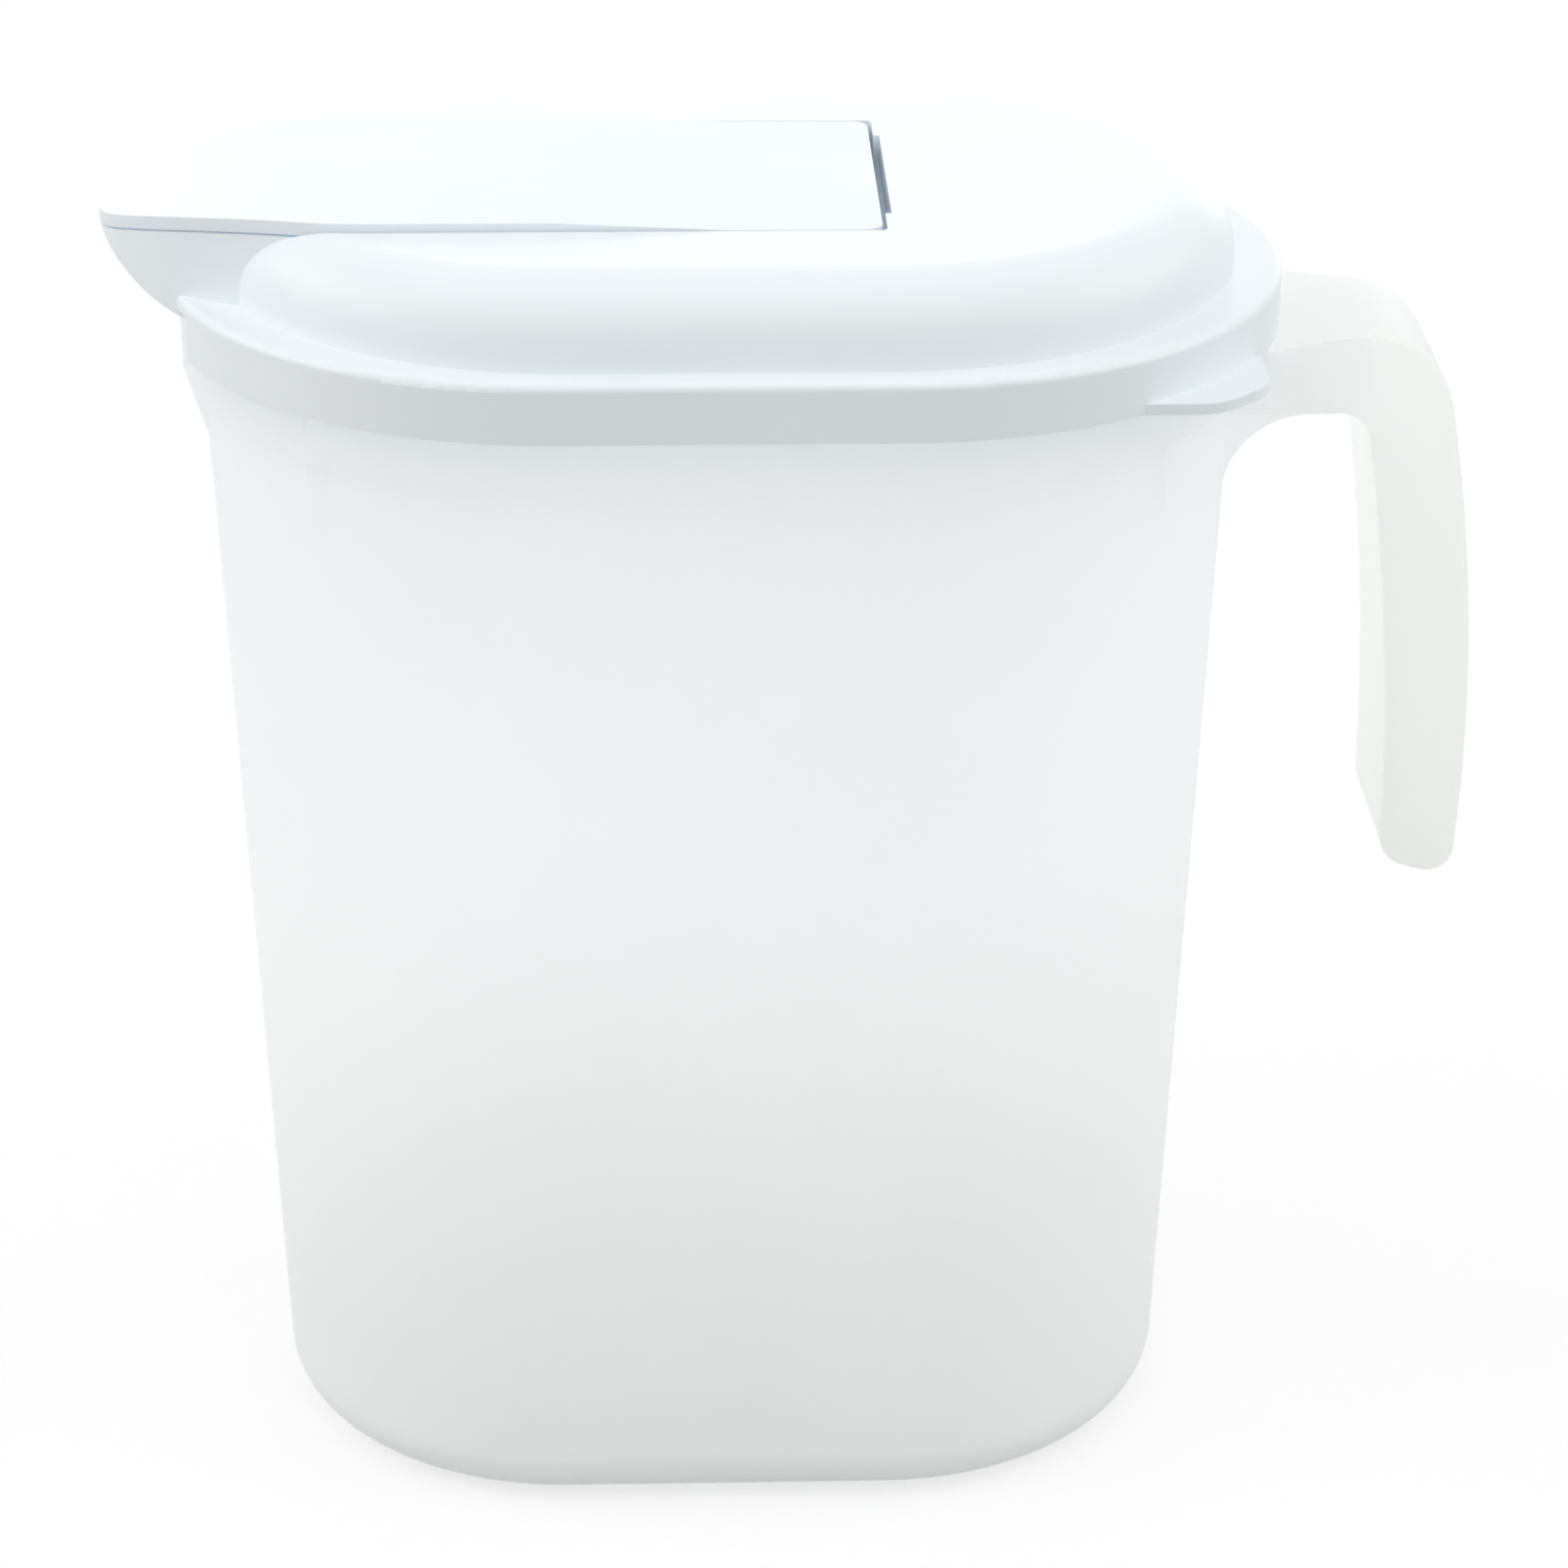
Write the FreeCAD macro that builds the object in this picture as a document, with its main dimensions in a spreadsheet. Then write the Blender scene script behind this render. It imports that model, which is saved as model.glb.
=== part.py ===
"""Lidded plastic jug: a tapered, stadium-shaped jug with a hook handle and a spout, a push-on
lid with a domed top and a beak over the spout, and a hinged flap that closes the pour opening.
Millimetres, +Z up.  Built about the lid's vertical axis, spout towards -X, handle towards +X."""
import FreeCAD, Part
import math
import os
import re
import Sketcher

Vec = FreeCAD.Vector

# name, value, meaning
SIZES = [
    # jug body
    ("rim_height", 200.7, "top of the jug's rim above the base"),
    ("base_half_long", 74.9, "half length of the body at the base"),
    ("base_half_deep", 48.4, "half depth of the body at the base"),
    ("draft_angle", 2.23, "lean of the walls in degrees"),
    ("body_set_back", 1.1, "how far the body's axis lies behind the lid's, towards the spout"),
    ("foot_round", 9.2, "radius between walls and base"),
    ("jug_wall", 1.9, "thickness of the jug's walls"),
    ("jug_floor", 2.4, "thickness of the jug's base"),
    ("collar_deep", 15.7, "height of the collar under the rim"),
    ("collar_out", 2.2, "how far the collar stands out from the wall"),
    # spout of the jug
    ("spout_inset", 28, "distance of the spout's axis from the end of the lid"),
    ("spout_radius", 26.5, "full spout radius"),
    ("spout_low_radius", 22.4, "spout radius where it leaves the wall"),
    ("spout_deep", 14.7, "height of the spout's full radius, up to the rim"),
    ("spout_flare_deep", 14, "height of the flare under it"),
    ("spout_lip_drop", 1.5, "how far the spout's lip lies below the rim"),
    ("spout_gap_inset", 3, "how much narrower than the spout the gap in the lid's skirt is"),
    # ribs under the rim
    ("rib_gap", 0.5, "gap between the ribs and the lid's skirt"),
    ("rib_long", 21.5, "height of the ribs"),
    ("rib_left_inset", 23.6, "ribs at the spout end, from the end of the lid"),
    ("rib_right_inset", 21, "ribs at the handle end, from the end of the lid"),
    ("rib_top_wide", 6.2, "rib width at the top"),
    ("rib_low_wide", 2, "rib width at the bottom"),
    ("rib_out", 3.2, "how far a rib's top stands out from the wall"),
    # handle
    ("handle_wide", 29, "handle width"),
    ("handle_stand", 32.4, "how far the handle stands out from the end of the lid"),
    ("handle_skirt_gap", 0.3, "gap between the handle's top and the lid's skirt"),
    ("handle_long", 94.4, "height of the handle"),
    ("handle_bow", 302, "radius of the handle's outer side"),
    ("handle_bow_drop", 69.2, "outermost point of that side below the handle's top"),
    ("handle_thick", 12.9, "thickness of the grip, outer to inner side"),
    ("handle_inner_bow", 397, "radius of the grip's inner side"),
    ("handle_inner_bow_drop", 83.2, "middle of that radius below the handle's top"),
    ("handle_tip_rise", 3.2, "rise of the tip towards its inner corner"),
    ("handle_top_thick", 12.9, "thickness of the handle above its gap"),
    ("handle_shoulder", 14.5, "outer radius of the handle's shoulder"),
    ("handle_root_round", 14, "radius between the roof of the gap and the body"),
    ("handle_root_sink", 2.9, "how far the root's lower end runs into the wall"),
    ("handle_root_wide", 44, "width of the flared root at the body"),
    ("handle_flare_long", 14, "length of the flare beyond the end of the lid"),
    ("handle_flare_round", 80, "radius of the flare"),
    ("handle_gap_round", 5, "radius at the inner corner of the grip"),
    ("handle_tip_round", 5.5, "radius of the tip's inner corner"),
    ("handle_tip_outer_round", 4.2, "radius of the tip's outer corner"),
    # lid
    ("lid_room_long", 0.085, "room between collar and skirt at the spout end"),
    ("lid_room_deep", 1.585, "room between collar and skirt at the sides"),
    ("skirt_deep", 7.2, "height of the lid's skirt below the rim"),
    ("skirt_wall", 1.9, "thickness of the skirt"),
    ("ring_thick", 2.1, "thickness of the ring that rests on the rim"),
    ("ring_round", 1.2, "radius of the ring's top edge"),
    ("dome_inset", 5.3, "width of the ring beside the dome"),
    ("dome_end_inset", 7.6, "width of the ring at the ends of the dome"),
    ("dome_rise", 12.9, "height of the dome above the ring"),
    ("dome_round", 10.8, "radius of the dome's edge"),
    ("lid_wall", 1.9, "thickness of the dome"),
    ("tab_inset_x", 6, "lift tabs, from the end of the lid"),
    ("tab_inset_y", 11.4, "lift tabs, from the side of the lid"),
    ("tab_cut", 8.5, "corner cut of the lift tabs"),
    ("tab_round", 9, "radius of the lift tabs' corners"),
    ("tab_long", 22, "length of a lift tab's straight sides before the cut"),
    ("tab_thick", 1.7, "thickness of the lift tabs"),
    # flap and the beak under it
    ("flap_long", 121.8, "length of the flap"),
    ("flap_half_wide", 28.6, "half width of the flap"),
    ("flap_taper_long", 29.3, "length of the part that narrows, up to the nose's centre"),
    ("flap_drop_long", 17.3, "length of the part that drops, up to the nose's centre"),
    ("flap_level_long", 23.5, "length of the level part at the rear"),
    ("flap_corner", 3, "radius of the flap's rear corners"),
    ("nose_inset", 4.7, "centre of the round nose, from the end of the lid"),
    ("nose_round", 15, "radius of the nose"),
    ("flap_thick", 2.1, "thickness of the flap"),
    ("flap_crown_rise", 1.3, "how far the front half of the flap stands above the dome"),
    ("flap_crown_long", 27, "length of that half behind the taper"),
    ("flap_nose_bow", 100, "radius of the flap's drop towards the nose"),
    ("flap_gap", 0.35, "clearance around and under the flap"),
    ("rear_gap", 0.7, "gap behind the flap's rear end"),
    ("slot_wide", 1.7, "width of the finger slot behind the flap"),
    ("slot_inset", 8.1, "ends of the finger slot, from the flap's sides"),
    ("beak_wall", 2, "wall of the beak"),
    ("beak_front_drop", 5, "lower edge of the beak's upright front, below the dome's top"),
    ("heel_inset", 3.5, "where the beak's underside meets the spout's lip, from the lid's end"),
    ("beak_round", 24, "radius of the beak's underside"),
    ("pour_long", 25.3, "length of the pour opening behind the nose's centre"),
    ("hinge_from_rear", 3, "hinge axis from the flap's rear end"),
    ("hinge_drop", 1.8, "hinge axis below the flap's top"),
    ("barrel_radius", 1.5, "radius of the flap's hinge barrel"),
    ("pin_radius", 0.9, "radius of the hinge pins"),
    ("pin_long", 1.5, "length of the hinge pins beyond the flap"),
    ("pin_gap", 0.25, "clearance around the hinge pins"),
    ("trough_depth", 3.9, "room around the hinge axis"),
    ("pan_wall", 2.2, "wall around and under the recess"),
]

# Places that follow the sizes.  Lengths run from the lid's axis and heights from the base.
FOLLOWS = {
    "wall_slope": "tan(draft_angle * 1deg)",
    "rim_out": "rim_height * wall_slope + collar_out",
    "lid_half_long": "base_half_long + rim_out + body_set_back + lid_room_long + skirt_wall",
    "lid_half_deep": "base_half_deep + rim_out + lid_room_deep + skirt_wall",
    "collar_height": "rim_height - collar_deep",
    "spout_centre": "lid_half_long - spout_inset",
    "spout_full_height": "rim_height - spout_deep",
    "spout_low_height": "spout_full_height - spout_flare_deep",
    "spout_rim_height": "rim_height - spout_lip_drop",
    "spout_half_wide": "spout_radius - spout_gap_inset",
    "skirt_height": "rim_height - skirt_deep",
    "ring_height": "rim_height + ring_thick",
    "dome_height": "ring_height + dome_rise",
    "rib_top_height": "skirt_height - rib_gap",
    "rib_low_height": "rib_top_height - rib_long",
    "rib_left_x": "lid_half_long - rib_left_inset",
    "rib_right_x": "lid_half_long - rib_right_inset",
    "handle_reach": "lid_half_long + handle_stand",
    "handle_top_height": "skirt_height - handle_skirt_gap",
    "handle_roof_height": "handle_top_height - handle_top_thick",
    "handle_tip_height": "handle_top_height - handle_long",
    "handle_bow_height": "handle_top_height - handle_bow_drop",
    "handle_inner_bow_height": "handle_top_height - handle_inner_bow_drop",
    "handle_flare_end": "lid_half_long + handle_flare_long",
    "tab_reach_x": "lid_half_long - tab_inset_x",
    "tab_reach_y": "lid_half_deep - tab_inset_y",
    "nose_centre": "lid_half_long - nose_inset",
    "flap_shoulder": "nose_centre - flap_taper_long",
    "flap_crown_start": "flap_shoulder - flap_crown_long",
    "flap_drop_start": "nose_centre - flap_drop_long",
    "flap_rear": "flap_long - nose_centre - nose_round",
    "flap_level_start": "flap_rear - flap_level_long",
    "flap_rear_height": "dome_height",
    "flap_crown_height": "dome_height + flap_crown_rise",
    "slot_half_long": "flap_half_wide - slot_inset",
    "beak_front_height": "dome_height - beak_front_drop",
    "beak_heel": "lid_half_long - heel_inset",
    "pour_rear": "nose_centre - pour_long",
}

doc = FreeCAD.newDocument("LiddedJug")
sheet = doc.addObject("Spreadsheet::Sheet", "Sizes")
for row, (alias, value, meaning) in enumerate(SIZES, start=1):
    sheet.set(f"A{row}", meaning)
    sheet.set(f"B{row}", str(value))
    sheet.setAlias(f"B{row}", alias)
doc.recompute()


SIZE_NAME = re.compile(r"\b(" + "|".join(alias for alias, _, _ in SIZES) + r")\b")
FOLLOWS_NAME = re.compile(r"\b(" + "|".join(FOLLOWS) + r")\b")


def named(formula):
    """Places that follow are written out, and every size's name gets its sheet in front."""
    while FOLLOWS_NAME.search(formula):
        formula = FOLLOWS_NAME.sub(lambda found: f"({FOLLOWS[found[0]]})", formula)
    return SIZE_NAME.sub(r"Sizes.\1", formula)


def number(formula):
    return float(sheet.evalExpression(named(formula)))


def bind(item, prop, formula):
    item.setExpression(prop, named(formula))


def pin_point(sketch, geo, pos, x, y):
    """Fix a sketch point by two bound distances from the sketch's origin."""
    for kind, formula in (("DistanceX", x), ("DistanceY", y)):
        index = sketch.addConstraint(Sketcher.Constraint(kind, -1, 1, geo, pos, number(formula)))
        bind(sketch, f"Constraints[{index}]", formula)


def new_sketch(body, name, plane, height="0"):
    if body is None:
        sketch = doc.addObject("Sketcher::SketchObject", name)
        turn = FreeCAD.Rotation(Vec(1, 0, 0), 90) if plane == "XZ_Plane" else FreeCAD.Rotation()
        sketch.Placement = FreeCAD.Placement(Vec(0, 0, 0), turn)
        if plane == "XY_Plane":
            bind(sketch, "Placement.Base.z", height)
        return sketch
    sketch = body.newObject("Sketcher::SketchObject", name)
    origin_plane = next(f for f in body.Origin.OriginFeatures if f.Role == plane)
    sketch.AttachmentSupport = [(origin_plane, "")]
    sketch.MapMode = "FlatFace"
    bind(sketch, "AttachmentOffset.Base.z", height)
    return sketch


def stadium(body, name, height, half_long, half_deep, centre_x="0"):
    """Two straight sides joined by two half circles."""
    sketch = new_sketch(body, name, "XY_Plane", height)
    reach, deep, mid = number(f"{half_long} - ( {half_deep} )"), number(half_deep), number(centre_x)
    right, left = Vec(mid + reach, 0, 0), Vec(mid - reach, 0, 0)
    up = Vec(0, deep, 0)
    quarter = math.pi / 2
    sketch.addGeometry([
        Part.LineSegment(left - up, right - up),
        Part.ArcOfCircle(Part.Circle(right, Vec(0, 0, 1), deep), -quarter, quarter),
        Part.LineSegment(right + up, left + up),
        Part.ArcOfCircle(Part.Circle(left, Vec(0, 0, 1), deep), quarter, 3 * quarter)], False)
    sketch.addConstraint([
        Sketcher.Constraint("Tangent", 0, 2, 1, 1), Sketcher.Constraint("Tangent", 1, 2, 2, 1),
        Sketcher.Constraint("Tangent", 2, 2, 3, 1), Sketcher.Constraint("Tangent", 3, 2, 0, 1),
        Sketcher.Constraint("Equal", 1, 3)])
    pin_point(sketch, 1, 3, f"{centre_x} + ( {half_long} ) - ( {half_deep} )", "0")
    pin_point(sketch, 3, 3, f"{centre_x} - ( {half_long} ) + ( {half_deep} )", "0")
    index = sketch.addConstraint(Sketcher.Constraint("Radius", 1, deep))
    bind(sketch, f"Constraints[{index}]", half_deep)
    return sketch


def outline(body, name, plane, corners, height="0", arcs=None):
    """Closed outline through the corners, anticlockwise.  arcs maps a side's number to the
    radius of an arc that bulges outwards (positive sense) or inwards (negative sense)."""
    sketch = new_sketch(body, name, plane, height)
    points = [Vec(number(x), number(y), 0) for x, y in corners]
    arcs = arcs or {}
    ends = []
    for i, start in enumerate(points):
        end = points[(i + 1) % len(points)]
        if i not in arcs:
            sketch.addGeometry(Part.LineSegment(start, end), False)
            ends.append((1, 2))
            continue
        radius, sense = number(arcs[i][0]), arcs[i][1]
        along = end - start
        inward = Vec(-along.y, along.x, 0).normalize()
        offset = math.sqrt(radius ** 2 - (along.Length / 2) ** 2)
        centre = (start + end) * 0.5 + inward * offset * sense
        first, last = (start, end) if sense > 0 else (end, start)
        angles = [math.atan2(p.y - centre.y, p.x - centre.x) for p in (first, last)]
        if angles[1] < angles[0]:
            angles[1] += 2 * math.pi
        circle = Part.Circle(centre, Vec(0, 0, 1), radius)
        sketch.addGeometry(Part.ArcOfCircle(circle, angles[0], angles[1]), False)
        ends.append((1, 2) if sense > 0 else (2, 1))
    for i, (x, y) in enumerate(corners):
        before = (i - 1) % len(points)
        sketch.addConstraint(Sketcher.Constraint("Coincident", before, ends[before][1],
                                                 i, ends[i][0]))
        pin_point(sketch, i, ends[i][0], x, y)
    for i, (radius, _) in arcs.items():
        index = sketch.addConstraint(Sketcher.Constraint("Radius", i, number(radius)))
        bind(sketch, f"Constraints[{index}]", radius)
    return sketch


def disc(body, name, height, centre_x, radius):
    sketch = new_sketch(body, name, "XY_Plane", height)
    sketch.addGeometry(Part.Circle(Vec(number(centre_x), 0, 0), Vec(0, 0, 1), number(radius)), False)
    pin_point(sketch, 0, 3, centre_x, "0")
    index = sketch.addConstraint(Sketcher.Constraint("Radius", 0, number(radius)))
    bind(sketch, f"Constraints[{index}]", radius)
    return sketch


def extrude(body, kind, name, profile, length, **settings):
    """Pad or Pocket of a sketch."""
    feature = body.newObject(f"PartDesign::{kind}", name)
    feature.Profile = profile
    bind(feature, "Length", length)
    for prop, value in settings.items():
        setattr(feature, prop, value)
    doc.recompute()
    return feature


def loft(body, kind, name, low, high):
    feature = body.newObject(f"PartDesign::{kind}", name)
    feature.Profile = low
    feature.Sections = [high]
    feature.Ruled = True
    doc.recompute()
    return feature


def round_edges(body, name, wanted, radius):
    """Fillet the edges of the body's tip that the test accepts."""
    tip = body.Tip
    chosen = [f"Edge{i}" for i, edge in enumerate(tip.Shape.Edges, start=1) if wanted(edge)]
    if not chosen:
        raise RuntimeError(f"{name}: no edge to round")
    feature = body.newObject("PartDesign::Fillet", name)
    feature.Base = (tip, chosen)
    bind(feature, "Radius", radius)
    doc.recompute()
    return feature


def level(edge, height, margin=0.05):
    box = edge.BoundBox
    return abs(box.ZMin - height) < margin and abs(box.ZMax - height) < margin


def crosses(edge, x, z, margin=0.05):
    """True for an edge along Y through x, z."""
    box = edge.BoundBox
    return (box.XLength < margin and box.ZLength < margin and box.YLength > 1
            and abs(box.XMin - x) < margin and abs(box.ZMin - z) < margin)


def upright(edge, x, y, margin=0.05):
    """True for an upright edge at x, y."""
    box = edge.BoundBox
    return (box.XLength < margin and box.YLength < margin
            and abs(box.XMin - x) < margin and abs(box.YMin - y) < margin)


def solid_of(sketch, name, direction, length, symmetric=False):
    block = doc.addObject("Part::Extrusion", name)
    block.Base = sketch
    block.DirMode = "Custom"
    block.Dir = direction
    block.Solid = True
    block.Symmetric = symmetric
    bind(block, "LengthFwd", length)
    return block


def combine(kind, name, parts):
    result = doc.addObject(f"Part::{kind}", name)
    if kind in ("Cut", "Common"):
        result.Base, result.Tool = parts
    else:
        result.Shapes = parts
    doc.recompute()
    return result


# ---------------------------------------------------------------- jug
jug = doc.addObject("PartDesign::Body", "JugOutside")

# Handle: a hook cut from one side view, with a root that widens upwards.
grip_x = "(handle_reach - handle_thick)"
root_x = "(base_half_long - 3)"
root_low = "(handle_roof_height - 28)"


def outer_x(height, inset="0"):
    """Outer side of the handle at a height, moved inwards by inset."""
    return (f"(handle_reach - handle_bow + sqrt((handle_bow - {inset})^2"
            f" - ({height} - handle_bow_height)^2))")


def inner_x(height):
    """Inner side of the grip at a height."""
    return (f"({grip_x} - handle_inner_bow + sqrt(handle_inner_bow^2"
            f" - ({height} - handle_inner_bow_height)^2))")


def body_x(height):
    """Outside of the body at its handle end."""
    return f"(base_half_long - body_set_back + {height} * wall_slope)"


shoulder_z = "handle_top_height"
tip_inner_z = "(handle_tip_height + handle_tip_rise)"
root_corner_x = f"({body_x('handle_roof_height')} - handle_root_sink / 3)"
handle_view = outline(jug, "HandleView", "XZ_Plane", [
    (root_x, root_low),
    (f"{body_x(root_low)} - handle_root_sink", root_low),
    (root_corner_x, "handle_roof_height"),
    (inner_x("handle_roof_height"), "handle_roof_height"),
    (inner_x(tip_inner_z), tip_inner_z),
    (outer_x("handle_tip_height"), "handle_tip_height"),
    (outer_x(shoulder_z), shoulder_z),
    (root_x, shoulder_z)],
    arcs={3: ("handle_inner_bow", -1), 5: ("handle_bow", 1)})
extrude(jug, "Pad", "Handle", handle_view, "handle_wide", SideType="Symmetric")
for label, x, z, radius in (
        ("Shoulder", outer_x(shoulder_z), shoulder_z, "handle_shoulder"),
        ("RootRound", root_corner_x, "handle_roof_height", "handle_root_round"),
        ("GapRound", inner_x("handle_roof_height"), "handle_roof_height", "handle_gap_round"),
        ("TipInner", inner_x(tip_inner_z), tip_inner_z, "handle_tip_round"),
        ("TipOuter", outer_x("handle_tip_height"), "handle_tip_height",
         "handle_tip_outer_round")):
    round_edges(jug, label, lambda edge: crosses(edge, number(x), number(z)), radius)



def root_plan(name, height, wide, arcs=None):
    """Plan of the handle's root, from the body to where the flare ends."""
    return outline(jug, name, "XY_Plane", [
        (root_x, f"0 - {wide} / 2"), ("lid_half_long - 5", f"0 - {wide} / 2"),
        ("handle_flare_end", "0 - handle_wide / 2"), ("handle_flare_end", "handle_wide / 2"),
        ("lid_half_long - 5", f"{wide} / 2"), (root_x, f"{wide} / 2")], height, arcs)


loft(jug, "AdditiveLoft", "RootFlare",
     root_plan("RootFlareLow", "handle_roof_height", "handle_wide"),
     root_plan("RootFlareTop", "handle_top_height", "handle_root_wide",
               {1: ("handle_flare_round", -1), 3: ("handle_flare_round", -1)}))

# Body: a drafted stadium with a collar, a spout and four ribs under the rim.
axis_x = "(0 - body_set_back)"
base = stadium(jug, "Base", "0", "base_half_long", "base_half_deep", axis_x)
walls = extrude(jug, "Pad", "Walls", base, "rim_height")
bind(walls, "TaperAngle", "draft_angle")
doc.recompute()
round_edges(jug, "FootRound", lambda edge: level(edge, 0), "foot_round")


def wall_grow(height):
    """How far the wall has moved out at a height."""
    return f"({height} * wall_slope)"


collar = stadium(jug, "CollarOutline", "collar_height",
                 f"base_half_long + {wall_grow('collar_height')} + collar_out",
                 f"base_half_deep + {wall_grow('collar_height')} + collar_out", axis_x)
extrude(jug, "Pad", "Collar", collar, "rim_height - collar_height")

spout_x = "(0 - spout_centre)"
loft(jug, "AdditiveLoft", "SpoutFlare",
     disc(jug, "SpoutLow", "spout_low_height", spout_x, "spout_low_radius"),
     disc(jug, "SpoutFull", "spout_full_height", spout_x, "spout_radius"))
extrude(jug, "Pad", "Spout", disc(jug, "SpoutOutline", "spout_full_height", spout_x,
                                  "spout_radius"), "rim_height - spout_full_height")

rib_root = "(base_half_deep - 16)"
for side, outer, inner in (("Left", "(0 - rib_left_x)", 1), ("Right", "rib_right_x", -1)):
    for face, sign in (("Front", -1), ("Back", 1)):
        ends = []
        for part, height, wide, out in (
                ("Low", "rib_low_height", "rib_low_wide", "0.4"),
                ("Top", "rib_top_height", "rib_top_wide", "rib_out")):
            # depth of the wall where the rib stands, from the end circle of the body
            half_deep = f"(base_half_deep + {wall_grow(height)})"
            arm = f"(abs({outer} + body_set_back) - base_half_long + base_half_deep)"
            wall_y = f"sqrt({half_deep}^2 - {arm}^2)"
            far = f"({outer} + {inner} * {wide})"
            y_root, y_out = f"{sign} * {rib_root}", f"{sign} * ({wall_y} + {out})"
            corners = [(outer, y_root), (outer, y_out), (far, f"{sign} * ({wall_y} + {out} + 1.5)"),
                       (far, y_root)]
            ends.append(outline(jug, f"Rib{side}{face}{part}", "XY_Plane", corners, height))
        loft(jug, "AdditiveLoft", f"Rib{side}{face}", *ends)

# Inside: a hollow for the jug and one for the spout, and a lower lip at the spout.
hollow = doc.addObject("PartDesign::Body", "JugHollow")
inside = stadium(hollow, "InsideOutline", "jug_floor",
                 f"base_half_long + {wall_grow('jug_floor')} - jug_wall",
                 f"base_half_deep + {wall_grow('jug_floor')} - jug_wall", axis_x)
room = extrude(hollow, "Pad", "Inside", inside, "rim_height - jug_floor + 1")
bind(room, "TaperAngle", "draft_angle")
doc.recompute()
round_edges(hollow, "InsideRound", lambda edge: level(edge, number("jug_floor")),
            "foot_round - jug_wall")
loft(hollow, "AdditiveLoft", "SpoutFlareInside",
     disc(hollow, "SpoutLowInside", "spout_low_height", spout_x, "spout_low_radius - jug_wall"),
     disc(hollow, "SpoutFullInside", "spout_full_height", spout_x, "spout_radius - jug_wall"))
extrude(hollow, "Pad", "SpoutInside",
        disc(hollow, "SpoutInsideOutline", "spout_full_height", spout_x,
             "spout_radius - jug_wall"), "rim_height - spout_full_height + 1")
lip = outline(hollow, "LipOutline", "XY_Plane", [
    ("0 - lid_half_long - 5", "0 - spout_half_wide - 1"),
    ("0 - spout_centre - 14", "0 - spout_half_wide - 1"),
    ("0 - spout_centre - 14", "spout_half_wide + 1"),
    ("0 - lid_half_long - 5", "spout_half_wide + 1")], "spout_rim_height")
extrude(hollow, "Pad", "Lip", lip, "rim_height - spout_rim_height + 1")
jug_part = combine("Cut", "Jug", (jug, hollow))
jug_part.Label = "jug"

# ---------------------------------------------------------------- lid
lid = doc.addObject("PartDesign::Body", "LidOutside")


def ring_outline(body, name, height, inset, end_inset=None):
    """The lid's stadium, moved inwards by inset at the sides and end_inset at the ends."""
    return stadium(body, name, height, f"lid_half_long - {end_inset or inset}",
                   f"lid_half_deep - {inset}")


extrude(lid, "Pad", "Ring", ring_outline(lid, "RingOutline", "skirt_height", "0"),
        "ring_height - skirt_height")
round_edges(lid, "RingRound", lambda edge: level(edge, number("ring_height")), "ring_round")
tab_start_x, tab_start_y = "(tab_reach_x - tab_long)", "(tab_reach_y - tab_long + 1)"
for face, sign in (("Front", -1), ("Back", 1)):
    tab = outline(lid, f"Tab{face}Outline", "XY_Plane", [
        (tab_start_x, f"{sign} * (tab_reach_y - 4)"),
        (tab_start_x, f"{sign} * tab_reach_y"),
        ("tab_reach_x - tab_cut", f"{sign} * tab_reach_y"),
        ("tab_reach_x", f"{sign} * (tab_reach_y - tab_cut)"),
        ("tab_reach_x", f"{sign} * {tab_start_y}"),
        ("tab_reach_x - 8", f"{sign} * {tab_start_y}")], "skirt_height")
    extrude(lid, "Pad", f"Tab{face}", tab, "tab_thick")
    for end, x, y in (("Near", "tab_reach_x - tab_cut", "tab_reach_y"),
                      ("Far", "tab_reach_x", "tab_reach_y - tab_cut")):
        round_edges(lid, f"Tab{face}{end}Round",
                    lambda edge: upright(edge, number(x), sign * number(y)), "tab_round")
extrude(lid, "Pad", "Dome", ring_outline(lid, "DomeOutline", "ring_height - 0.5", "dome_inset",
                                         "dome_end_inset"),
        "dome_height - ring_height + 0.5")
round_edges(lid, "DomeRound", lambda edge: level(edge, number("dome_height")), "dome_round")

# Hollow of the lid: inside of the skirt, inside of the dome, and the gap for the spout.
under = doc.addObject("PartDesign::Body", "LidHollow")
extrude(under, "Pad", "DomeInside",
        ring_outline(under, "DomeInsideOutline", "rim_height - 0.5", "(dome_inset + lid_wall)",
                     "(dome_end_inset + lid_wall)"),
        "dome_height - lid_wall - rim_height + 0.5")
round_edges(under, "DomeInsideRound",
            lambda edge: level(edge, number("dome_height - lid_wall")), "dome_round - lid_wall")
extrude(under, "Pad", "SkirtInside",
        ring_outline(under, "SkirtInsideOutline", "skirt_height - 1", "skirt_wall"),
        "rim_height - skirt_height + 1")
spout_gap = outline(under, "SpoutGapOutline", "XY_Plane", [
    ("0 - lid_half_long - 5", "0 - spout_half_wide"), ("0 - spout_centre - 14", "0 - spout_half_wide"),
    ("0 - spout_centre - 14", "spout_half_wide"), ("0 - lid_half_long - 5", "spout_half_wide")],
    "skirt_height - 1")
extrude(under, "Pad", "SpoutGap", spout_gap, "rim_height - skirt_height + 1")
lid_shell = combine("Cut", "LidShell", (lid, under))

hinge_x = "(flap_rear - hinge_from_rear)"
hinge_z = "(flap_rear_height - hinge_drop)"
up, sideways = Vec(0, 0, 1), Vec(0, 1, 0)
above = "30"


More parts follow.
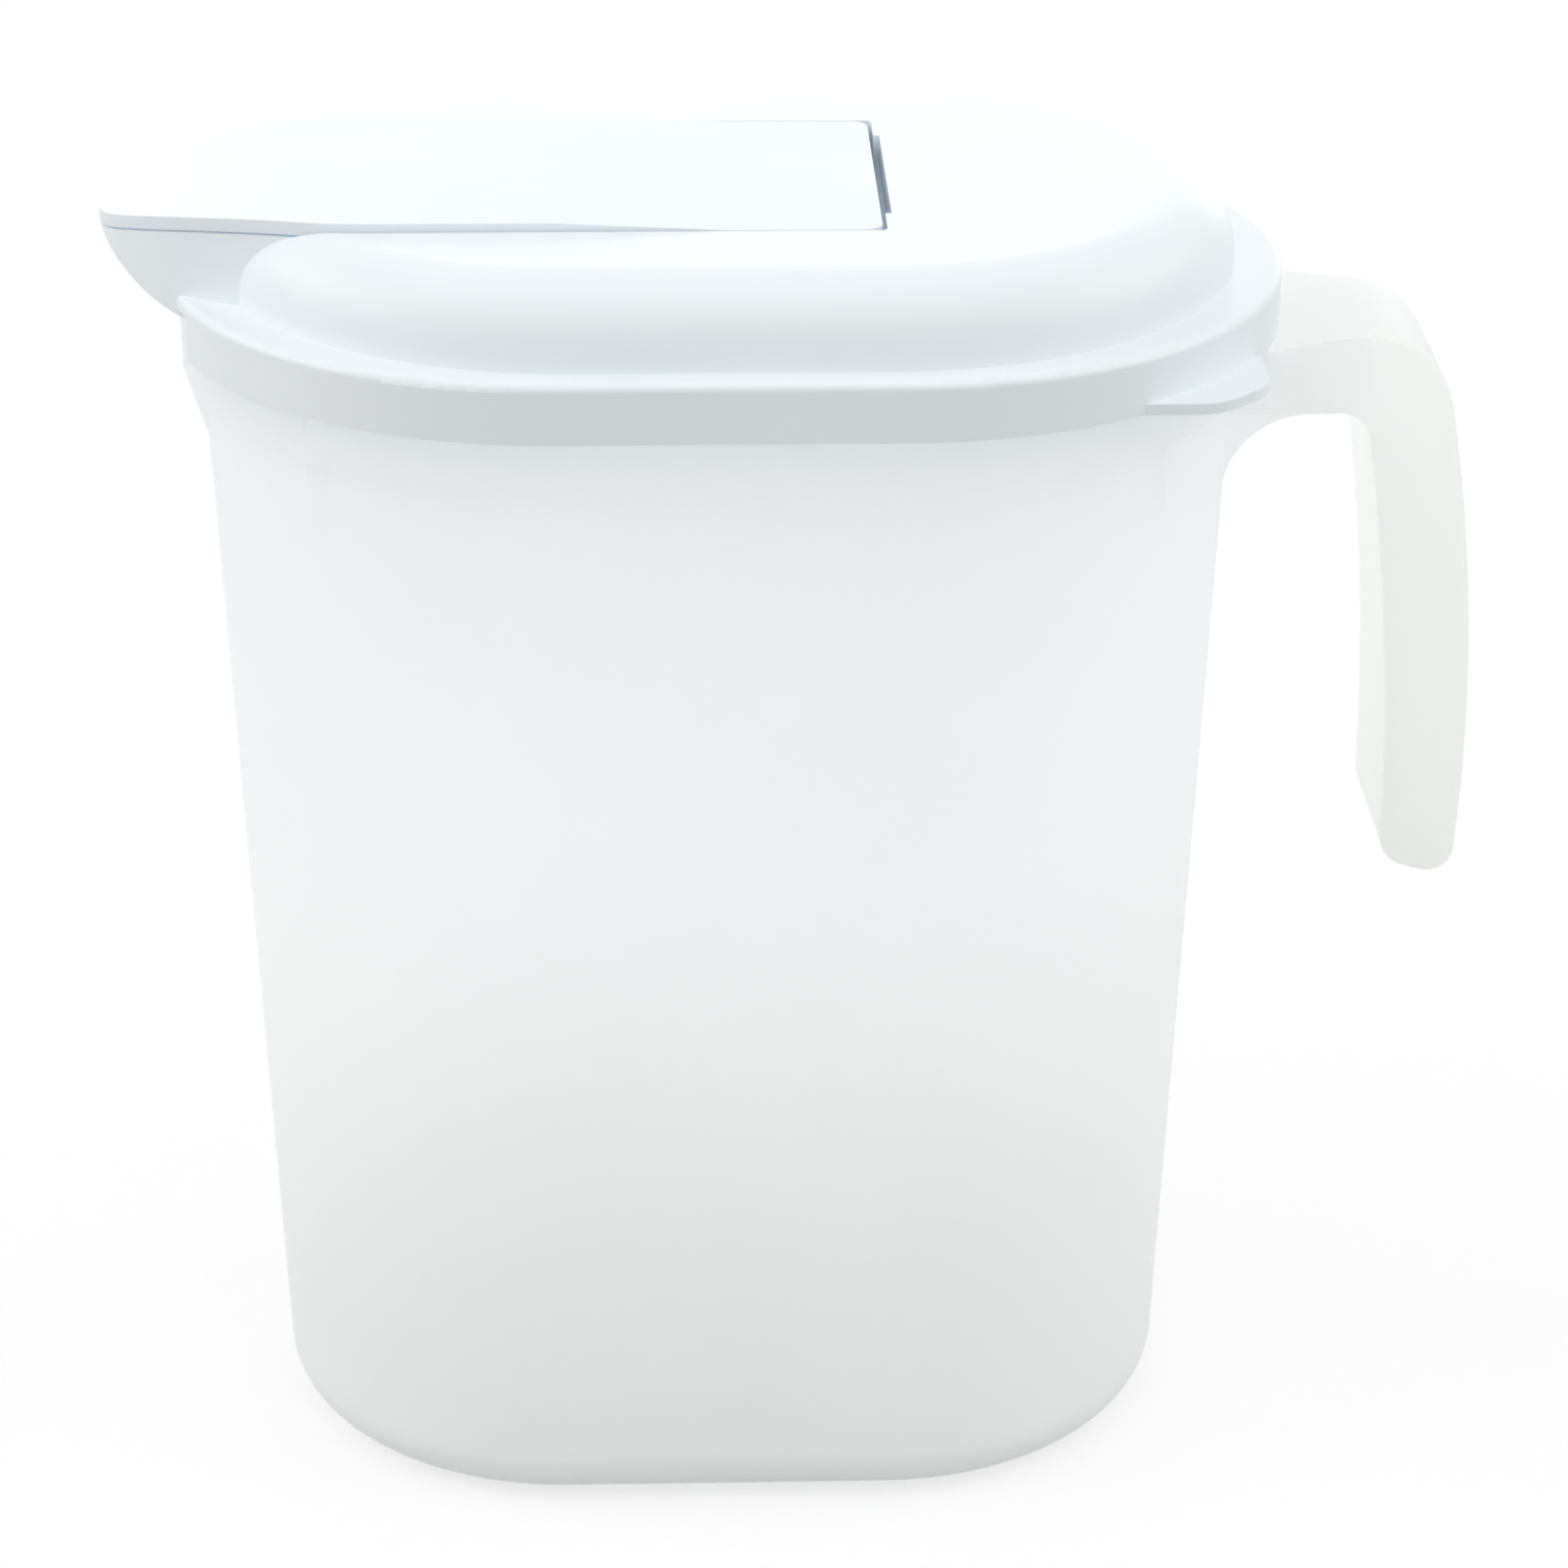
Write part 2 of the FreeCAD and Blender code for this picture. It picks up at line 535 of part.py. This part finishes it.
def tongue(name, height, grow, rear="flap_rear", corner=None):
    """Plan of the flap, grown on all sides: parallel sides, curved flanks and a round nose."""
    half, shoulder = f"(flap_half_wide + {grow})", "(0 - flap_shoulder)"
    radius, centre = f"(nose_round + {grow})", "(0 - nose_centre)"
    # the flank's arc leaves the side at the shoulder and meets the nose's circle
    flank = (f"((flap_taper_long^2 + {half}^2 - {radius}^2)"
             f" / (2 * (flap_half_wide - nose_round)))")
    touch_x = f"({centre} - {radius} * flap_taper_long / ({flank} - {radius}))"
    touch_y = f"({radius} * ({flank} - {half}) / ({flank} - {radius}))"
    points, arcs = [], {}
    if corner is None:
        points += [(rear, f"0 - {half}"), (rear, half)]
    else:
        points += [(f"{rear} - {corner}", f"0 - {half}"), (rear, f"{corner} - {half}"),
                   (rear, f"{half} - {corner}"), (f"{rear} - {corner}", half)]
        arcs = {0: (corner, 1), 2: (corner, 1)}
    first = len(points)
    points += [(shoulder, half), (touch_x, touch_y), (touch_x, f"0 - {touch_y}"),
               (shoulder, f"0 - {half}")]
    arcs |= {first: (flank, 1), first + 1: (radius, 1), first + 2: (flank, 1)}
    sketch = outline(None, f"{name}Plan", "XY_Plane", points, height, arcs=arcs)
    return solid_of(sketch, name, up, above)


def side_block(name, corners, arcs):
    """A side view drawn across the whole lid."""
    view = outline(None, f"{name}View", "XZ_Plane", corners, arcs=arcs)
    return solid_of(view, name, sideways, "4 * flap_half_wide", symmetric=True)


def block(name, left, right, half, low, high):
    plan = outline(None, f"{name}Plan", "XY_Plane", [
        (left, f"0 - {half}"), (right, f"0 - {half}"), (right, half), (left, half)], low)
    return solid_of(plan, name, up, f"{high} - {low}")


def rod(name, radius, half_long):
    """Round bar on the hinge axis."""
    bar = doc.addObject("Part::Cylinder", name)
    bind(bar, "Radius", radius)
    bind(bar, "Height", f"2 * {half_long}")
    bar.Placement = FreeCAD.Placement(Vec(0, 0, 0), FreeCAD.Rotation(Vec(1, 0, 0), -90))
    for axis, formula in (("x", hinge_x), ("y", f"0 - {half_long}"), ("z", hinge_z)):
        bind(bar, f"Placement.Base.{axis}", formula)
    return bar


def bow_drop(x):
    """Fall of the flap's nose at x."""
    return f"(flap_nose_bow - sqrt(flap_nose_bow^2 - ({x} + flap_drop_start)^2))"


# Beak: the tongue's plan with a rounded underside, hollowed into an open scoop.
beyond = "(0 - nose_centre - nose_round - 3)"
front = "(0 - nose_centre - nose_round - 0.3)"
heel = "(0 - beak_heel)"
beak_high = tongue("BeakHigh", "rim_height", "0")
beak_low = combine("Common", "BeakLow", (
    tongue("BeakFoot", "spout_rim_height", "0"),
    block("BeakFootLimit", beyond, "(0 - spout_centre - 14)", "spout_half_wide",
          "spout_rim_height", "(rim_height + 1)")))
beak_side = side_block("BeakSide", [
    (heel, "spout_rim_height"), ("0 - pour_rear", "spout_rim_height"),
    ("0 - pour_rear", f"rim_height + {above}"), (front, f"rim_height + {above}"),
    (front, "beak_front_height")], {4: ("beak_round", 1)})
beak = combine("Common", "Beak", (combine("MultiFuse", "BeakBlock", [beak_high, beak_low]),
                                  beak_side))

# Pan that holds the flap, with a deeper trough under the hinge.
pan_half = "(flap_half_wide + flap_gap + pan_wall)"
floor_z = "(flap_rear_height - flap_thick - flap_gap)"
crown_floor_z = "(flap_crown_height - flap_thick - flap_gap)"
trough_z = f"({hinge_z} - trough_depth)"
pan_top = "(dome_height - lid_wall / 2)"
pan = block("Pan", "(0 - pour_rear)", hinge_x, pan_half, f"({floor_z} - pan_wall)", pan_top)
trough = block("Trough", f"({hinge_x} - trough_depth - pan_wall)",
               "(flap_rear + slot_wide + pan_wall)", pan_half, f"({trough_z} - pan_wall)", pan_top)
lid_solid = combine("MultiFuse", "LidSolid", [lid_shell, beak, pan, trough])

recess = combine("Common", "Recess", (
    combine("MultiFuse", "RecessPlan", [
        tongue("RecessBlock", f"{trough_z} - 1", "flap_gap", "(flap_rear + rear_gap)",
               "(hinge_from_rear + rear_gap - hinge_drop - 2 * flap_gap)"),
        block("Slot", hinge_x, "(flap_rear + slot_wide)", "slot_half_long",
              f"({trough_z} - 1)", f"(rim_height + {above})")]),
    side_block("RecessSide", [
        (f"({hinge_x} - trough_depth)", trough_z), ("flap_rear + slot_wide + 2", trough_z),
        ("flap_rear + slot_wide + 2", f"rim_height + {above}"), (beyond, f"rim_height + {above}"),
        (beyond, f"{crown_floor_z} - {bow_drop(beyond)}"), ("0 - flap_drop_start", crown_floor_z),
        ("0 - flap_crown_start", crown_floor_z), ("flap_level_start", floor_z),
        (f"({hinge_x} - trough_depth)", floor_z)], {4: ("flap_nose_bow", -1)})))
pour = combine("Common", "Pour", (
    tongue("PourBlock", "spout_rim_height - 2", "(0 - beak_wall)"),
    side_block("PourSide", [
        (f"{heel} + 0.7", "spout_rim_height - 3"), ("0 - pour_rear", "spout_rim_height - 3"),
        ("0 - pour_rear", f"rim_height + {above}"), (front, f"rim_height + {above}"),
        (front, "beak_front_height + beak_wall"), (f"{heel} + 0.7", "spout_rim_height + beak_wall")],
        {4: ("beak_round", 1)})))
sockets = rod("Sockets", "pin_radius + pin_gap", "(flap_half_wide + pin_long + 0.3)")
lid_part = combine("Cut", "Lid", (lid_solid,
                                  combine("MultiFuse", "LidCuts", [recess, pour, sockets])))
lid_part.Label = "lid"

# ---------------------------------------------------------------- flap
plate_low, crown_low = "(flap_rear_height - flap_thick)", "(flap_crown_height - flap_thick)"
plate = combine("Common", "FlapPlate", (
    tongue("FlapBlock", f"{trough_z} - 1", "0", "flap_rear", "flap_corner"),
    side_block("FlapSide", [
        (beyond, f"{crown_low} - {bow_drop(beyond)}"), ("0 - flap_drop_start", crown_low),
        ("0 - flap_crown_start", crown_low), ("flap_level_start", plate_low),
        ("flap_rear + 2", plate_low), ("flap_rear + 2", "flap_rear_height"),
        ("flap_level_start", "flap_rear_height"), ("0 - flap_crown_start", "flap_crown_height"),
        ("0 - flap_drop_start", "flap_crown_height"),
        (beyond, f"flap_crown_height - {bow_drop(beyond)}")],
        {0: ("flap_nose_bow", -1), 8: ("flap_nose_bow", 1)})))
flap_part = combine("MultiFuse", "Flap", [
    plate, rod("Barrel", "barrel_radius", "(flap_half_wide - 2 * flap_gap)"),
    rod("Pins", "pin_radius", "(flap_half_wide + pin_long)")])
flap_part.Label = "flap"

# The origin is the middle of the whole object's base.
pieces = [jug_part, lid_part, flap_part]
for piece in pieces:
    bind(piece, "Placement.Base.x", "(nose_centre + nose_round - handle_reach) / 2")
doc.recompute()

for item in doc.Objects:
    if "Invalid" in item.State or "Error" in item.State:
        raise RuntimeError(f"{item.Name} failed to build")
for piece in pieces:
    if piece.Shape.isNull() or not piece.Shape.isValid() or len(piece.Shape.Solids) != 1:
        raise RuntimeError(f"{piece.Label} is not one sound solid")

os.makedirs("parts", exist_ok=True)
for piece in pieces:
    piece.Shape.exportStep(f"parts/{piece.Label}.step")
    box = piece.Shape.BoundBox
    print(piece.Label, round(piece.Shape.Volume), round(box.XMin, 2), round(box.XMax, 2),
          round(box.YMin, 2), round(box.YMax, 2), round(box.ZMin, 2), round(box.ZMax, 2))
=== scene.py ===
"""Looks of the lidded plastic jug: frosted translucent body, white lid and pour flap."""

import bpy
from mathutils import Matrix, Vector


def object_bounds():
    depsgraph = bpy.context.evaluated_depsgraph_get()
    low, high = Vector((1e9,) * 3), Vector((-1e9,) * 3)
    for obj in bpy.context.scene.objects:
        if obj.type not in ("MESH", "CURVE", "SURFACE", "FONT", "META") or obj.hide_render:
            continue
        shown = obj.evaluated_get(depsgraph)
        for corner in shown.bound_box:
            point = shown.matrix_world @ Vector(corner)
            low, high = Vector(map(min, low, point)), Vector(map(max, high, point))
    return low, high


bpy.ops.wm.read_factory_settings(use_empty=True)
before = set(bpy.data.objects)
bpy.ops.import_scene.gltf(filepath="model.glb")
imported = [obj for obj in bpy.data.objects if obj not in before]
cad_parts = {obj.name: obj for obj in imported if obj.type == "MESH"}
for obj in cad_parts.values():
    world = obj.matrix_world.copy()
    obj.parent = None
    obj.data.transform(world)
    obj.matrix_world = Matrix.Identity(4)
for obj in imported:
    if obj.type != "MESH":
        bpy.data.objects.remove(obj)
cad_low, cad_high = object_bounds()
scene = bpy.context.scene

WHITE = (1, 1, 1, 1)
PLASTIC_IOR = 1.49


def srgb(r, g, b):
    """0-255 screen colour as linear values."""
    def linear(v):
        v /= 255
        return v / 12.92 if v <= 0.04045 else ((v + 0.055) / 1.055) ** 2.4
    return linear(r), linear(g), linear(b), 1.0


# ---------------------------------------------------------------- node helpers
def new_material(name):
    material = bpy.data.materials.new(name)
    material.use_nodes = True
    nodes = material.node_tree.nodes
    return material, nodes, material.node_tree.links, nodes["Principled BSDF"]


def set_inputs(node, values):
    """Set inputs from pairs of a name or number and a value."""
    for key, value in values:
        node.inputs[key].default_value = value


def new_node(nodes, kind, values=(), **settings):
    """Node of a kind, with its settings and then the values of its inputs."""
    node = nodes.new(kind)
    for name, setting in settings.items():
        setattr(node, name, setting)
    set_inputs(node, values)
    return node


def mottle(nodes, links, scale, low, high):
    """Soft colour variation in object space between two colours."""
    where = new_node(nodes, "ShaderNodeTexCoord")
    noise = new_node(nodes, "ShaderNodeTexNoise", [("Scale", scale), ("Detail", 3.0)])
    ramp = new_node(nodes, "ShaderNodeValToRGB")
    stops = ramp.color_ramp.elements
    stops[0].position, stops[1].position = 0.3, 0.7
    stops[0].color, stops[1].color = low, high
    links.new(where.outputs["Object"], noise.inputs["Vector"])
    links.new(noise.outputs["Fac"], ramp.inputs["Fac"])
    return where, ramp


def grain(nodes, links, where, shader, scale, strength, distance):
    """Fine moulded grain as bump."""
    noise = new_node(nodes, "ShaderNodeTexNoise", [("Scale", scale), ("Detail", 4.0)])
    bump = new_node(nodes, "ShaderNodeBump", [("Strength", strength), ("Distance", distance)])
    links.new(where.outputs["Object"], noise.inputs["Vector"])
    links.new(noise.outputs["Fac"], bump.inputs["Height"])
    links.new(bump.outputs["Normal"], shader.inputs["Normal"])


def smooth_step(nodes, links, value, span, levels):
    """Output that goes smoothly between two levels while value goes through span."""
    step = new_node(nodes, "ShaderNodeMapRange",
                    [("From Min", span[0]), ("From Max", span[1]),
                     ("To Min", levels[0]), ("To Max", levels[1])],
                    interpolation_type="SMOOTHSTEP")
    links.new(value, step.inputs["Value"])
    return step.outputs["Result"]


def combine(nodes, links, operation, first, second):
    """Output of a Math node on two outputs."""
    node = new_node(nodes, "ShaderNodeMath", operation=operation)
    links.new(first, node.inputs[0])
    links.new(second, node.inputs[1])
    return node.outputs[0]


def mix_shaders(nodes, links, share, first, second):
    """Node that mixes two shader nodes by an output."""
    mixed = new_node(nodes, "ShaderNodeMixShader")
    links.new(share, mixed.inputs["Fac"])
    links.new(first.outputs[0], mixed.inputs[1])
    links.new(second.outputs[0], mixed.inputs[2])
    return mixed


def seen_rays(nodes, links, path):
    """1 for the rays that show the background: camera, glossy and transmission rays."""
    either = combine(nodes, links, "MAXIMUM",
                     path.outputs["Is Camera Ray"], path.outputs["Is Glossy Ray"])
    return combine(nodes, links, "MAXIMUM", either, path.outputs["Is Transmission Ray"])


# ---------------------------------------------------------------- materials
# metres in the object's frame
FOOT_TO_WALL_Z = 0.004, 0.118      # from the thick foot up to the thin wall
BODY_TO_HANDLE_X = 0.070, 0.080    # from the thin wall out to the solid handle
# span in x over which the handle's darker colour, thicker plastic and painted shade together,
# fades in
HANDLE_SHADE_SPAN_X = 0.0715, 0.080
# share of the light that goes through
FOOT_TO_WALL_SHARE = 0.32, 0.785
BODY_TO_HANDLE_SHARE = 1.0, 0.75   # an upper limit, so the body keeps its own share

FROST_LOW, FROST_HIGH = srgb(252.2, 252.6, 252.4), srgb(253.8, 254.2, 254)
# darker handle colour: partly thicker plastic, partly painted shade
HANDLE_TINT_AND_SHADE = srgb(249.4, 249.9, 248.9)


def frosted():
    """Frosted wall: part of the light is scattered back, the rest is scattered through."""
    material, nodes, links, shader = new_material("frosted_polypropylene")
    where, ramp = mottle(nodes, links, scale=14, low=FROST_LOW, high=FROST_HIGH)
    axes = new_node(nodes, "ShaderNodeSeparateXYZ")
    links.new(where.outputs["Object"], axes.inputs["Vector"])
    x, z = axes.outputs["X"], axes.outputs["Z"]
    # the solid handle is painted a little darker than the thin wall: partly its thicker plastic,
    # partly painted shade on the handle
    tint_and_shade = new_node(nodes, "ShaderNodeMix", [("B", HANDLE_TINT_AND_SHADE)],
                    data_type="RGBA", blend_type="MULTIPLY")
    links.new(smooth_step(nodes, links, x, HANDLE_SHADE_SPAN_X, (0, 1)), tint_and_shade.inputs["Factor"])
    links.new(ramp.outputs["Color"], tint_and_shade.inputs["A"])
    colour = tint_and_shade.outputs["Result"]
    links.new(colour, shader.inputs["Base Color"])
    grain(nodes, links, where, shader, scale=900, strength=0.12, distance=0.0002)
    set_inputs(shader, [("Roughness", 0.42), ("IOR", PLASTIC_IOR)])
    through = new_node(nodes, "ShaderNodeBsdfTranslucent")
    links.new(colour, through.inputs["Color"])
    # less light goes through near the thick foot and in the handle
    wall = smooth_step(nodes, links, z, FOOT_TO_WALL_Z, FOOT_TO_WALL_SHARE)
    grip = smooth_step(nodes, links, x, BODY_TO_HANDLE_X, BODY_TO_HANDLE_SHARE)
    least = combine(nodes, links, "MINIMUM", wall, grip)
    mixed = mix_shaders(nodes, links, least, shader, through)
    links.new(mixed.outputs[0], nodes["Material Output"].inputs["Surface"])
    return material


def white(name, low, high, roughness):
    """Satin white plastic, mottled between two colours."""
    material, nodes, links, shader = new_material(name)
    where, ramp = mottle(nodes, links, scale=20, low=low, high=high)
    links.new(ramp.outputs["Color"], shader.inputs["Base Color"])
    grain(nodes, links, where, shader, scale=1400, strength=0.08, distance=0.0001)
    set_inputs(shader, [
        ("Roughness", roughness), ("IOR", PLASTIC_IOR), ("Specular IOR Level", 0.32),
        ("Subsurface Weight", 0.15), ("Subsurface Scale", 0.0015),
        ("Subsurface Radius", (1.0, 1.0, 1.0))])
    return material


MATERIALS = {
    "jug": frosted(),
    "lid": white("white_lid_plastic", low=srgb(239, 245, 249), high=srgb(243, 248, 252),
                 roughness=0.38),
    "flap": white("white_flap_plastic", low=srgb(233, 240, 246), high=srgb(237, 243, 248),
                  roughness=0.36),
}
for name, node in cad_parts.items():
    node.data.materials.clear()
    node.data.materials.append(MATERIALS[name])

# ---------------------------------------------------------------- floor
FLOOR_HALF = 6.0                   # metres, as all lengths here
FLOOR_GAP = 0.0002                 # the floor lies this far under the object
FLOOR_GREY = (0.5, 0.5, 0.5, 1)    # what the floor gives back to the object
SHADOW_REACH = 0.35, 1.4           # the floor's shadow fades out between these distances
SHADOW_SHARE = 0.35, 0.0           # how much of the seen floor is matt and takes a shadow

floor_mesh = bpy.data.meshes.new("floor")
floor_mesh.from_pydata(
    [(-FLOOR_HALF, -FLOOR_HALF, 0), (FLOOR_HALF, -FLOOR_HALF, 0),
     (FLOOR_HALF, FLOOR_HALF, 0), (-FLOOR_HALF, FLOOR_HALF, 0)], [], [(0, 1, 2, 3)])
floor = bpy.data.objects.new("floor", floor_mesh)
floor.location.z = cad_low[2] - FLOOR_GAP
scene.collection.objects.link(floor)

floor_material, nodes, links, shader = new_material("floor_white")
set_inputs(shader, [("Base Color", FLOOR_GREY), ("Roughness", 0.9), ("Specular IOR Level", 0.0)])
sheet = new_node(nodes, "ShaderNodeEmission")
matt = new_node(nodes, "ShaderNodeBsdfDiffuse", [("Color", WHITE)])
where = new_node(nodes, "ShaderNodeTexCoord")
reach = new_node(nodes, "ShaderNodeVectorMath", operation="LENGTH")
links.new(where.outputs["Object"], reach.inputs[0])
near = smooth_step(nodes, links, reach.outputs["Value"], SHADOW_REACH, SHADOW_SHARE)
path = new_node(nodes, "ShaderNodeLightPath")
# light that goes through the wall meets a matt floor, the camera a mostly plain white one
share = combine(nodes, links, "MAXIMUM", near, path.outputs["Is Transmission Ray"])
seen = mix_shaders(nodes, links, share, sheet, matt)
pick = mix_shaders(nodes, links, seen_rays(nodes, links, path), shader, seen)
links.new(pick.outputs[0], nodes["Material Output"].inputs["Surface"])
floor_mesh.materials.append(floor_material)

# ---------------------------------------------------------------- light
WORLD_LIGHT = 0.58                 # on the object
WORLD_SEEN = 1.0                   # by the camera: white
WORLD_MIRRORED = 0.85              # in reflections and through the wall

world = bpy.data.worlds.new("studio")
scene.world = world
world.use_nodes = True
nodes, links = world.node_tree.nodes, world.node_tree.links
soft = nodes["Background"]
set_inputs(soft, [("Color", WHITE), ("Strength", WORLD_LIGHT)])
bright = new_node(nodes, "ShaderNodeBackground", [("Color", WHITE)])
path = new_node(nodes, "ShaderNodeLightPath")
level = new_node(nodes, "ShaderNodeMath",
                 [(1, WORLD_SEEN - WORLD_MIRRORED), (2, WORLD_MIRRORED)],
                 operation="MULTIPLY_ADD")
links.new(path.outputs["Is Camera Ray"], level.inputs[0])
links.new(level.outputs[0], bright.inputs["Strength"])
choose = mix_shaders(nodes, links, seen_rays(nodes, links, path), soft, bright)
links.new(choose.outputs[0], nodes["World Output"].inputs["Surface"])

# name, place, width, height, power in watts
LIGHTS = (
    ("top_light", (0.0, -0.62, 1.2), 1.3, 1.1, 3.4),
    ("left_light", (-1.15, 0.0, 0.85), 1.2, 0.7, 5.7),
    ("right_light", (1.2, 0.0, 0.85), 1.2, 0.7, 5.1),
    ("back_light", (0.0, 1.5, 0.32), 1.8, 0.6, 6.4),
)
centre = (Vector(cad_low) + Vector(cad_high)) / 2
for name, place, width, height, power in LIGHTS:
    data = bpy.data.lights.new(name, "AREA")
    data.shape = "RECTANGLE"
    data.size, data.size_y = width, height
    data.energy = power
    light = bpy.data.objects.new(name, data)
    light.location = place
    light.rotation_euler = (centre - Vector(place)).to_track_quat("-Z", "Y").to_euler()
    scene.collection.objects.link(light)

# ---------------------------------------------------------------- camera
camera_data = bpy.data.cameras.new("camera")
camera_data.sensor_width = 36
camera_data.lens = 105.98
camera_data.clip_start, camera_data.clip_end = 0.05, 30
camera = bpy.data.objects.new("camera", camera_data)
forward = Vector((0.02738181, 0.90791149, -0.41826661))
right = Vector((0.99958154, -0.0287724, 0.00298269))
up = Vector((0.00932652, 0.41817325, 0.90831941))
place = Vector((-0.02262, -0.69954, 0.43227))
camera.matrix_world = Matrix((
    (right.x, up.x, -forward.x, place.x),
    (right.y, up.y, -forward.y, place.y),
    (right.z, up.z, -forward.z, place.z),
    (0, 0, 0, 1)))
scene.collection.objects.link(camera)
scene.camera = camera

# light has to cross the frosted wall many times
scene.cycles.max_bounces = 24
scene.cycles.diffuse_bounces = 16
scene.cycles.transmission_bounces = 16
scene.view_settings.view_transform = "Standard"
